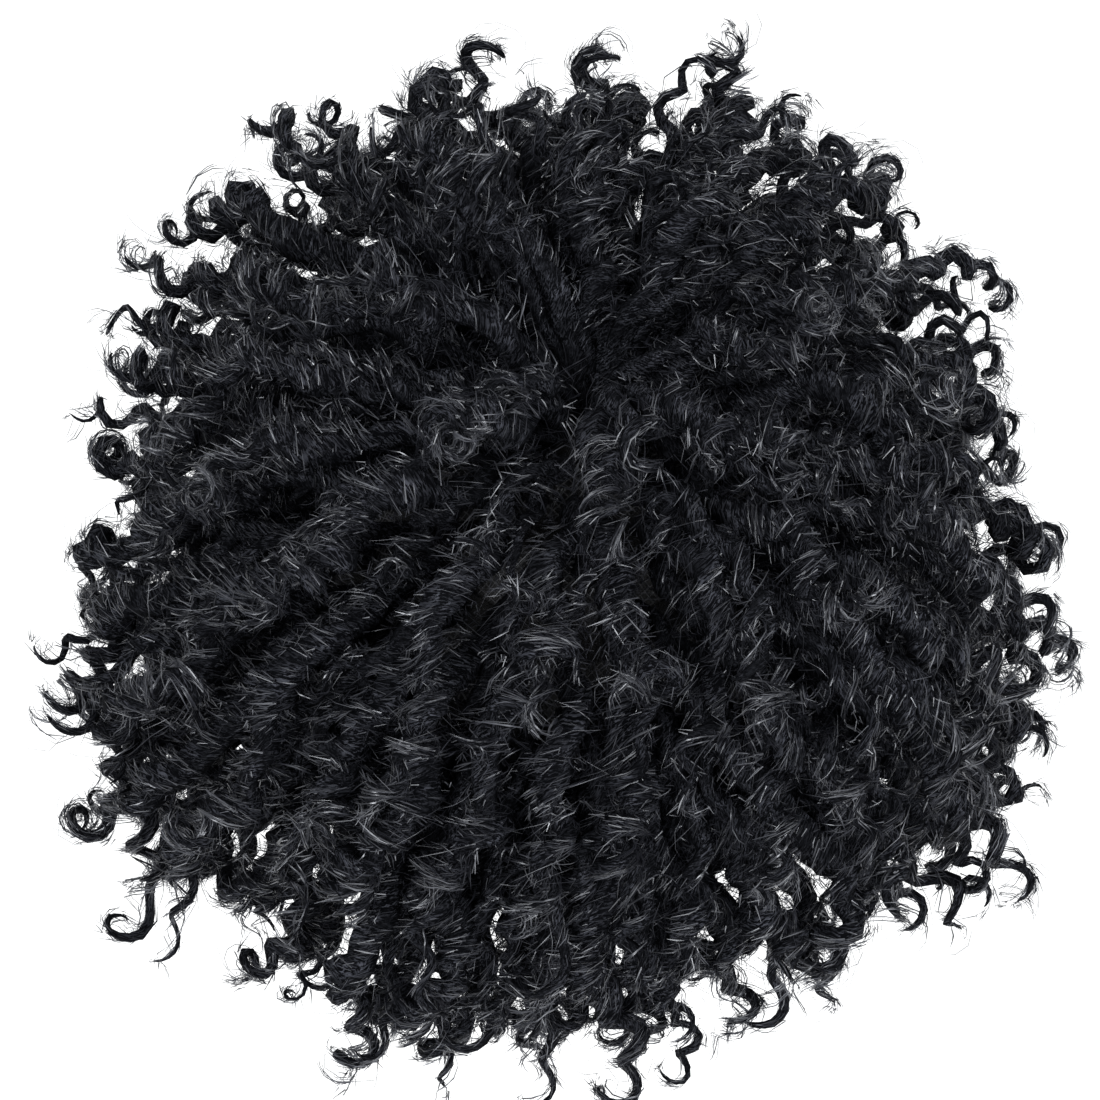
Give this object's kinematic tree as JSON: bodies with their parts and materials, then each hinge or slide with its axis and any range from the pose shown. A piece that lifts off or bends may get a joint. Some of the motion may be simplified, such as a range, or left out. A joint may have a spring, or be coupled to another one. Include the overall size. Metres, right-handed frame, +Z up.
{
  "type": "dreadlock wig",
  "caption": "Round short dreadlock wig: twisted curly locks in rows on a thin hollow cap, cut high at the forehead and low at the nape, worn on an adult head.",
  "frame": {"origin": "inside of the cap at the crown, where it rests on the top of the head", "axes": "+Z up, the face looks along -Y, +X to the right of someone facing the wig"},
  "size_m": [0.3268, 0.3471, 0.2844],
  "materials": {
    "cap_net": "matt black stretch net",
    "hair": "black synthetic fibre with a low sheen"
  },
  "bodies": {
    "root": {"wig_cap": "cap_net", "crown_locks": "hair", "top_locks": "hair", "upper_locks": "hair", "middle_locks": "hair", "fringe_locks": "hair", "side_locks": "hair", "lower_locks": "hair", "nape_locks": "hair"}
  },
  "joints": []
}
